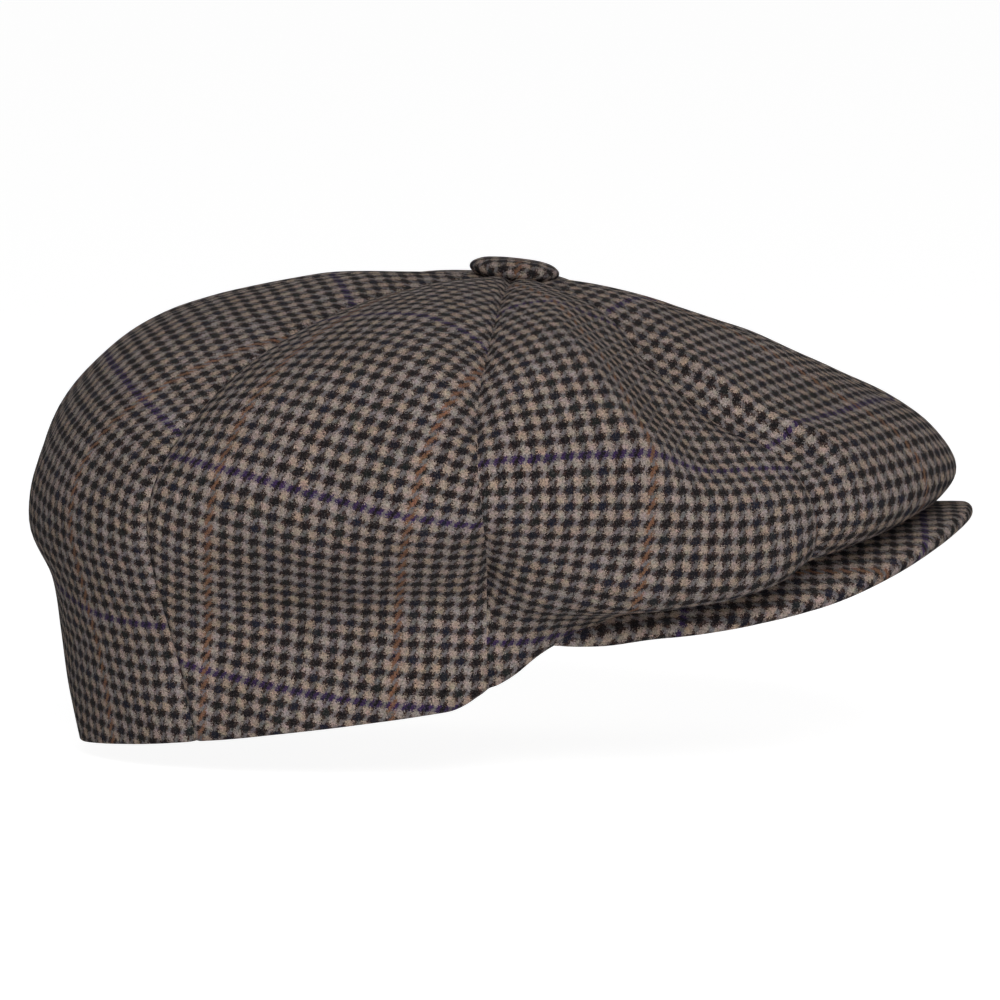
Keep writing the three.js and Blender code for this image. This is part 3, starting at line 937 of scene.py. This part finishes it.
def hem_roll(outer, inner):
    """Rows between the outer and inner face that turn under the hem, lowest in the middle."""
    middle = (outer[0] + inner[0]) / 2
    half = (outer[0] - inner[0]) / 2
    radius = np.linalg.norm(half, axis=1, keepdims=True)
    down = unit(outer[0] - outer[1])
    rows = []
    for k in range(1, HEM_ROLL_STEPS + 1):
        angle = math.pi * k / (HEM_ROLL_STEPS + 1)
        rows.append(middle + half * math.cos(angle) + down * radius * HEM_ROUNDNESS * math.sin(angle))
    return np.array(rows)


def hem_thickness(face):
    """Wool thickness at each point: doubled in the fold above the hem."""
    fold = 1 - smoothstep(run_along(face), HEM_FOLD_HEIGHT - HEM_FOLD_EASE, HEM_FOLD_HEIGHT + HEM_FOLD_EASE)
    return WOOL_THICKNESS + (HEM_FOLD - WOOL_THICKNESS) * fold


def wool_gore(gore):
    across = crowded_ends(GORE_COLUMNS)
    up = even_ups(GORE_ROWS)
    outer, normals = wool_face(gore, across, up)
    inner = outer - normals * hem_thickness(outer)[..., None]
    cloth = gore_cloth(gore, across, up)
    roll = hem_roll(outer, inner)
    roll_cloth = np.repeat(cloth[:1], len(roll), axis=0)
    roll_cloth[..., 1] -= np.linspace(*HEM_ROLL_CLOTH, len(roll))[:, None]
    half = HEM_ROLL_STEPS // 2
    outer = np.concatenate([roll[:half][::-1], outer])
    inner = np.concatenate([roll[half:], inner])
    front_cloth = np.concatenate([roll_cloth[:half][::-1], cloth])
    back_cloth = np.concatenate([roll_cloth[half:], cloth])
    name = GORE_NAMES[gore]
    piece = shell("wool_gore_" + name, outer, inner, front_cloth, back_cloth)
    dress(piece, "wool")
    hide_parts("crown_gore_" + name)
    attach(piece, gore in FLEXING_GORES)


LINING_COLUMNS = 14
LINING_ROWS = 48
LINING_CLEARANCE = 0.4
LINING_SEAM_DEPTH = 0.6  # how much deeper it lies along its own seams
LINING_SLACK = (0.45, 22, 3)  # height, size and seed of its waves


def lining_gore(gore):
    across = np.linspace(0, 1, LINING_COLUMNS + 1)
    up = even_ups(LINING_ROWS)
    base = crown_base(gore, across, up)
    normals = crown_normals(gore, across, up)
    off_seam = 1 - (2 * across[None, :] - 1) ** 2
    slack, size, seed = LINING_SLACK
    waves = slack * noise_at(base, size, seed) * off_seam
    depth = LINING_DEPTH + LINING_CLEARANCE + LINING_SEAM_DEPTH * (off_seam < 0.01) - waves
    width = gore_width(base)
    outer = base - normals * depth[..., None] + sunk(gore, base, across, up, width)
    outer[..., 2] -= LINING_SAG * smoothstep(up, LINING_SAG_UP, 1)[:, None]
    inner = outer - normals * LINING_THICKNESS
    piece = shell("satin_lining_" + GORE_NAMES[gore], outer, inner, first_flat(outer))
    dress(piece, "lining")
    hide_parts("lining_gore_" + GORE_NAMES[gore])
    attach(piece, gore in FLEXING_GORES)


BAND_COLUMNS = 240
BAND_ROWS = 9
SWEATBAND_DROP = 3.4  # how much lower its foot hangs behind the visor


def hem_inward(around):
    """Level directions from the hem towards the inside."""
    level = hem_points(around, 1) - hem_points(around)
    level[:, 2] = 0
    return unit(level)


def band(name, node, inset, thickness, height, lean, material, lower_in_front):
    """A closed ring round the inside of the hem, with rounded edges. Lengths in mm."""
    around = np.linspace(0, FULL_TURN_SEAMS, BAND_COLUMNS, endpoint=False)
    levels = np.linspace(0, 1, BAND_ROWS)
    foot = hem_points(around, inset)
    drop = lower_in_front * smoothstep(foot[:, 0], *OVERLAP_FADE)

    def face(depth, pinch):
        rows = []
        for level in levels:
            row = hem_points(around, inset + depth + lean * level)
            near_edge = min(level, 1 - level) * height
            inwards = pinch * max(0, 1 - near_edge / thickness)
            row = row + inwards * thickness / 2 * hem_inward(around)
            row[:, 2] = foot[:, 2] + HEM_ALLOWANCE + height * level - drop * (1 - level)
            rows.append(row)
        return np.array(rows)

    outer = face(0, 1)
    inner = face(thickness, -1)
    cloth = np.zeros((len(levels), BAND_COLUMNS, 2))
    cloth[..., 0] = run_along(foot)[None, :]
    cloth[..., 1] = (levels * height)[:, None]
    piece = shell(name, outer, inner, cloth, closed=True)
    dress(piece, material)
    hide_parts(node)
    attach(piece, True)


# --- Visor ---

VISOR_COLUMNS = 120
TEMPLE_ANGLE = math.acos(VISOR_END_X / OPENING_HALF_LENGTH)
VISOR_TUCK = 3.2  # how far the covers reach in under the hem
THIN_ENDS = (-0.01, 0.06)  # the visor thins out over this share of the rim at both ends
THIN_END_SHARE = 0.6  # of its full thickness
RIM_SHARE = 0.45  # most of the depth past the hem that the round rim takes
LEAST_DEPTH = 0.7  # past the hem
COVER_INNER = 0.62  # the covers' inner face, for a half thickness of 1
COVER_FLAT_ROWS = 22
COVER_RIM_ROWS = 10
COVER_WAVES = (0.18, 16)  # height and size
COVER_SEED = 5
BOARD_CORNER_COVER = 1.4  # the top cover stands up this much over the corners of the board
RIM_SEAM = math.radians(-48)  # where the two covers meet on the round rim


def visor_edge(along):
    left = [(x, -y, z) for x, y, z in reversed(VISOR_OUTLINE[:-1])]
    dense = curve_through(VISOR_OUTLINE + left, np.linspace(0, 1, 400))
    run = run_along(dense)
    return np.stack([np.interp(along * run[-1], run, dense[:, k]) for k in range(3)], 1)


def visor_surface(profile):
    """Points of the visor, for a profile of (share of the rim's roundness, share of the depth, lift)."""
    along = np.linspace(0, 1, VISOR_COLUMNS + 1)
    angle = TEMPLE_ANGLE * (1 - 2 * along)
    zero = np.zeros_like(angle)
    hem = np.stack([OPENING_HALF_LENGTH * np.cos(angle), -OPENING_HALF_WIDTH * np.sin(angle), zero], 1)
    outward = np.stack([OPENING_HALF_WIDTH * np.cos(angle), -OPENING_HALF_LENGTH * np.sin(angle), zero], 1)
    inner = hem - VISOR_TUCK * unit(outward)
    edge = visor_edge(along)
    depth = np.linalg.norm(edge - inner, axis=1)
    towards = (edge - inner) / depth[:, None]
    full = smoothstep(np.minimum(along, 1 - along), *THIN_ENDS)
    half = VISOR_HALF_THICKNESS * (THIN_END_SHARE + (1 - THIN_END_SHARE) * full)
    past_hem = np.maximum(depth - VISOR_TUCK, LEAST_DEPTH)
    rim = np.minimum(half, RIM_SHARE * past_hem)
    rows = []
    for back, share, lift in profile:
        distance = share * (depth - rim) + back * rim
        point = inner + towards * distance[:, None]
        roll = EDGE_ROLL * np.clip(1 - (depth - distance) / past_hem, 0, 1) ** 4
        near_end = 1 - smoothstep(point[:, 0], TEMPLE_X, TEMPLE_X + TEMPLE_DROP_LENGTH)
        over_board = BOARD_CORNER_COVER * near_end * max(lift, 0)
        point[:, 2] = visor_middle(point[:, 0], point[:, 1]) + lift * half - roll + over_board
        rows.append(point)
    return np.array(rows)


def cover_profile(scale, side):
    """Flat stretch, then round the rim to the covers' seam. scale shrinks it towards the board."""
    flat = [(0, share, side * scale) for share in np.linspace(0, 1, COVER_FLAT_ROWS, endpoint=False)]
    angles = np.linspace(side * math.pi / 2, RIM_SEAM, COVER_RIM_ROWS)
    rim = [(scale * math.cos(angle), 1, scale * math.sin(angle)) for angle in angles]
    return flat + rim


def visor_cloth(rows, side):
    """Weave coordinates: grain from the head to the tip, following the cloth over the rim."""
    laid = rows[:1] + run_along(rows)[..., None] * unit(rows[1] - rows[0])
    return np.stack([-side * laid[..., 1], laid[..., 0]], -1)


def visor_cover(name, node, side):
    """The top cover, side 1, or the under cover, side -1."""
    outer = visor_surface(cover_profile(1, side))
    inner = visor_surface(cover_profile(COVER_INNER, side))
    height, size = COVER_WAVES
    outer[..., 2] += side * height * noise_at(outer, size, COVER_SEED + side)
    piece = shell(name, outer, inner, visor_cloth(outer, side))
    dress(piece, "wool")
    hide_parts(node)
    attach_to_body(piece, "visor")


# --- Button ---

BUTTON_COLUMNS = 72
BUTTON_ROWS = 22
BUTTON_RIM = 1.2  # height of the widest place
BUTTON_SKIRT = 3.4  # how far the cloth turns down below it
BUTTON_TURN_IN = math.radians(-62)  # where its profile ends under the rim
BUTTON_SQUARENESS = 0.62  # below 1, the dome's shoulder is squarer
BUTTON_CLOTH = (0.9, 0.8)  # thickness of the cloth at the rim and on top
BUTTON_WAVES = (0.15, 5, 8)  # height, size and seed


def button_cover():
    """Cloth stretched over a shallow dome and tucked in under its rim."""
    turns = np.linspace(0, 2 * math.pi, BUTTON_COLUMNS, endpoint=False)
    angles = np.linspace(math.pi / 2, BUTTON_TURN_IN, BUTTON_ROWS)

    def face(radius, height):
        rows = []
        for angle in angles:
            wide = max(math.cos(angle), 0.0) ** BUTTON_SQUARENESS * radius
            high = BUTTON_RIM + (height if angle > 0 else BUTTON_SKIRT) * math.sin(angle)
            rows.append([(wide * math.cos(turn), wide * math.sin(turn), high) for turn in turns])
        return np.array(rows)

    at_rim, on_top = BUTTON_CLOTH
    outer = face(BUTTON_RADIUS, BUTTON_HEIGHT - BUTTON_RIM)
    inner = face(BUTTON_RADIUS - at_rim, BUTTON_HEIGHT - BUTTON_RIM - on_top)
    height, size, seed = BUTTON_WAVES
    outer[..., 2] += height * noise_at(outer, size, seed)
    run = run_along(outer) + np.linalg.norm(outer[0, :, :2], axis=1)[None, :]
    cloth = np.stack([run * np.cos(turns)[None], run * np.sin(turns)[None]], -1)
    cloth[:1] = 0
    piece = shell("button_cloth", outer, inner, cloth, closed=True)
    close_middle(piece)
    tilt_onto_crest(piece)
    dress(piece, "wool")
    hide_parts("button_cover")
    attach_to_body(piece, "crown")


def close_middle(piece):
    """Joins the points that meet in the middle of the outer and of the inner dome."""
    work = bmesh.new()
    work.from_mesh(piece.data)
    bmesh.ops.remove_doubles(work, verts=work.verts, dist=1e-6)
    loose = [edge for edge in work.edges if not edge.link_faces]
    bmesh.ops.delete(work, geom=loose, context="EDGES")
    bmesh.ops.recalc_face_normals(work, faces=work.faces)
    work.to_mesh(piece.data)
    work.free()


def tilt_onto_crest(piece):
    turn = Matrix.Rotation(BUTTON_TILT, 4, "Y")
    move = Matrix.Translation(Vector(CREST) * MM)
    piece.data.transform(move @ turn)


# --- Scene ---

AIM = Vector((0.0192, 0, 0.0462))
VIEW_WIDTH = 0.300
CAMERA_DISTANCE = 3.0
CAMERA_ELEVATION = math.radians(5.5)
FLOOR_DROP = 0.004
WORLD_BEHIND = ("Y", 0.3, 1.0, 0.05, 0.9)  # axis, where the ramp starts and ends, strength at both ends
WORLD_BELOW = ("Z", -0.95, -0.5, 0.4, 0.0)
FLOOR_RADIUS = 12
FLOOR_SIDES = 96
COVE = 4  # radius of the curve from floor to wall
COVE_STEPS = 6
WALL_HEIGHT = 12
FLOOR_GREY = 0.32
FLOOR_GLOW = 0.93
SOFTBOXES = (
    ("key", (0.2, -1.8, 1.2), (1.2, 0.9), 28),  # name, place and size in metres, watts
    ("front", (0.2, -2.3, -0.3), (1.1, 1.1), 24),
)


def add_camera():
    data = bpy.data.cameras.new("camera")
    data.sensor_width = 36
    data.lens = data.sensor_width * CAMERA_DISTANCE / VIEW_WIDTH
    data.clip_end = 4 * FLOOR_RADIUS
    camera = bpy.data.objects.new("camera", data)
    bpy.context.scene.collection.objects.link(camera)
    away = Vector((0, -math.cos(CAMERA_ELEVATION), math.sin(CAMERA_ELEVATION)))
    camera.location = AIM + away * CAMERA_DISTANCE
    camera.rotation_euler = (math.pi / 2 - CAMERA_ELEVATION, 0, 0)
    bpy.context.scene.camera = camera


def add_softbox(name, place, size, watts):
    data = bpy.data.lights.new(name, "AREA")
    data.shape = "RECTANGLE"
    data.size, data.size_y = size
    data.energy = watts
    light = bpy.data.objects.new(name, data)
    bpy.context.scene.collection.objects.link(light)
    light.location = place
    light.rotation_euler = (AIM - Vector(place)).to_track_quat("-Z", "Y").to_euler()


def add_world():
    """Weak even light, stronger from behind the cap and from straight below it."""
    world = bpy.data.worlds.new("studio")
    world.use_nodes = True
    tree = world.node_tree
    place = tree.nodes.new("ShaderNodeTexCoord")
    split = tree.nodes.new("ShaderNodeSeparateXYZ")
    tree.links.new(place.outputs["Generated"], split.inputs[0])
    total = tree.nodes.new("ShaderNodeMath")
    for slot, (axis, start, end, low, high) in enumerate((WORLD_BEHIND, WORLD_BELOW)):
        ramp = tree.nodes.new("ShaderNodeMapRange")
        tree.links.new(split.outputs[axis], ramp.inputs["Value"])
        for name, value in (("From Min", start), ("From Max", end), ("To Min", low), ("To Max", high)):
            ramp.inputs[name].default_value = value
        tree.links.new(ramp.outputs[0], total.inputs[slot])
    tree.links.new(total.outputs[0], tree.nodes["Background"].inputs["Strength"])
    tree.nodes["Background"].inputs["Color"].default_value = (1, 1, 1, 1)
    bpy.context.scene.world = world


def floor_material():
    """Pale and nearly even, with a faint shadow."""
    shader = Shader("floor")
    shader.set(
        Base_Color=(FLOOR_GREY, FLOOR_GREY, FLOOR_GREY),
        Roughness=1.0,
        Specular_IOR_Level=0.0,
        Emission_Color=(1.0, 1.0, 1.0),
        Emission_Strength=FLOOR_GLOW,
    )
    return shader.material


def add_floor():
    """A wide flat floor that curves up into a wall far behind and all round the cap."""
    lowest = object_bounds()[0][2] - FLOOR_DROP
    profile = [(1, 0), (FLOOR_RADIUS, 0)]
    for k in range(1, COVE_STEPS + 1):
        angle = math.pi / 2 * k / COVE_STEPS
        profile.append((FLOOR_RADIUS + COVE * math.sin(angle), COVE * (1 - math.cos(angle))))
    profile.append((FLOOR_RADIUS + COVE, WALL_HEIGHT))
    turns = [2 * math.pi * k / FLOOR_SIDES for k in range(FLOOR_SIDES)]
    points = [(r * math.cos(turn), r * math.sin(turn), lowest + z) for r, z in profile for turn in turns]
    faces = [tuple(range(FLOOR_SIDES))]
    for ring in range(len(profile) - 1):
        for k in range(FLOOR_SIDES):
            a = ring * FLOOR_SIDES + k
            b = ring * FLOOR_SIDES + (k + 1) % FLOOR_SIDES
            faces.append((a, a + FLOOR_SIDES, b + FLOOR_SIDES, b))
    mesh = bpy.data.meshes.new("floor")
    mesh.from_pydata(points, [], faces)
    mesh.shade_smooth()
    mesh.materials.append(floor_material())
    floor = bpy.data.objects.new("floor", mesh)
    bpy.context.scene.collection.objects.link(floor)
    floor.visible_diffuse = False
    floor.visible_glossy = False
    floor.visible_shadow = False


def build():
    for gore in range(FULL_TURN_SEAMS):
        wool_gore(gore)
        lining_gore(gore)
    band("hem_stay_tape", "stay_tape", TAPE_INSET, TAPE_THICKNESS, TAPE_HEIGHT, 0, "tape", 0)
    band(
        "ribbed_sweatband",
        "sweatband",
        SWEATBAND_INSET,
        SWEATBAND_THICKNESS,
        SWEATBAND_HEIGHT,
        SWEATBAND_LEAN,
        "sweatband",
        SWEATBAND_DROP,
    )
    visor_cover("visor_top_cloth", "visor_top_cover", 1)
    visor_cover("visor_under_cloth", "visor_under_cover", -1)
    button_cover()
    for node, material in (("visor_board", "board"), ("button_shell", "steel"), ("button_prong", "steel")):
        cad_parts[node].data.materials.clear()
        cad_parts[node].data.materials.append(MATERIALS[material])


bpy.context.scene.view_settings.view_transform = "Standard"
build()
add_floor()
add_camera()
add_world()
for softbox in SOFTBOXES:
    add_softbox(*softbox)
